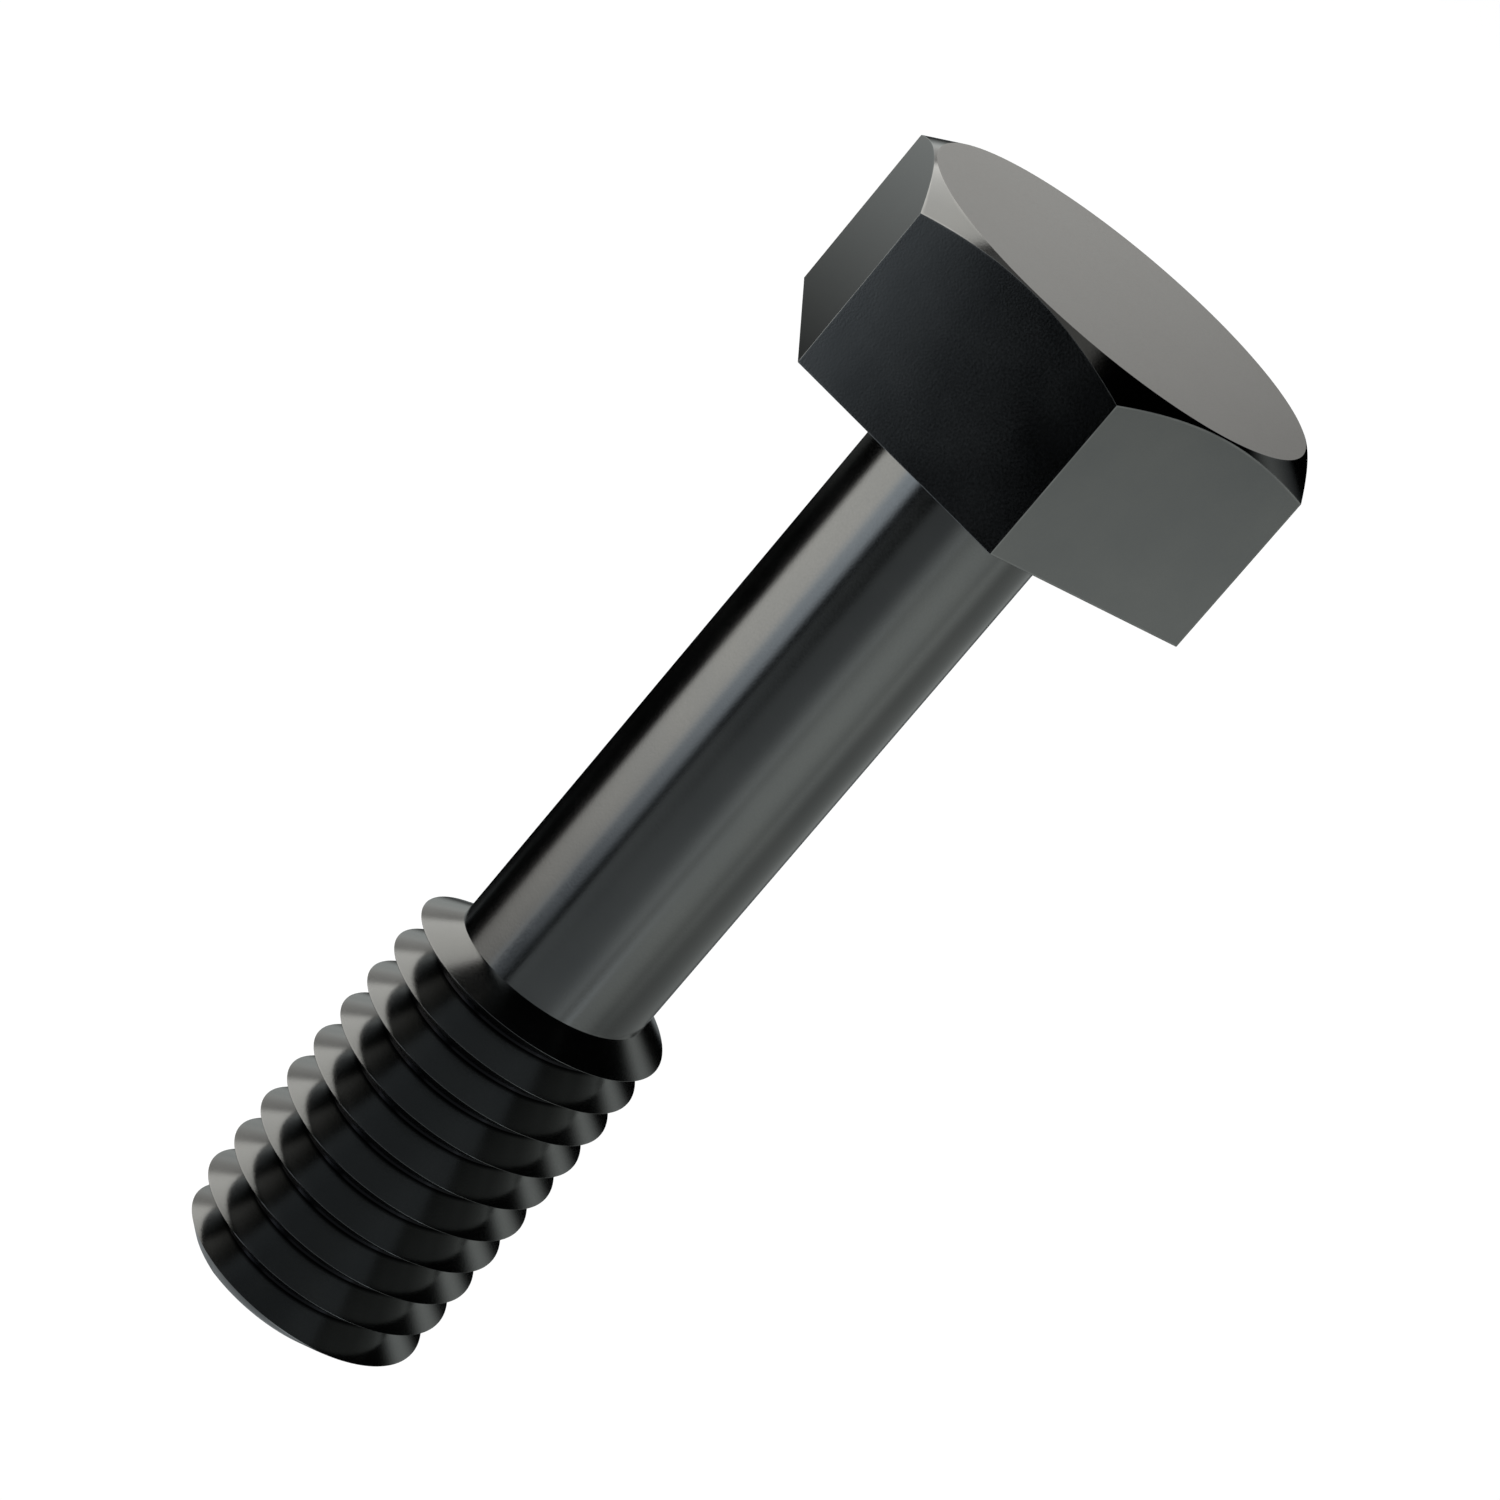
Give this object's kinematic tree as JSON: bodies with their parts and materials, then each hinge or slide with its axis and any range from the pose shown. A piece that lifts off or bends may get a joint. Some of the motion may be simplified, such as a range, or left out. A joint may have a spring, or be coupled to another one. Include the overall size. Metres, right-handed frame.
{
  "type": "hex bolt",
  "caption": "Blackened hexagon-head captive bolt with a chamfered head, a plain waisted shank and a short right-hand metric thread.",
  "frame": {"origin": "middle of the bearing face under the head, on the bolt's axis", "axes": "+Z along the bolt's axis, up through the head; the thread is below zero; two flats of the hexagon face +Y and -Y, and two of its corners lie on the X axis"},
  "size_m": [0.0092, 0.008, 0.0236],
  "materials": {
    "black_oxide_steel": "black oxide, satin"
  },
  "bodies": {
    "root": {"hex_head": "black_oxide_steel", "waist": "black_oxide_steel", "screw_thread": "black_oxide_steel", "chamfered_point": "black_oxide_steel"}
  },
  "joints": []
}
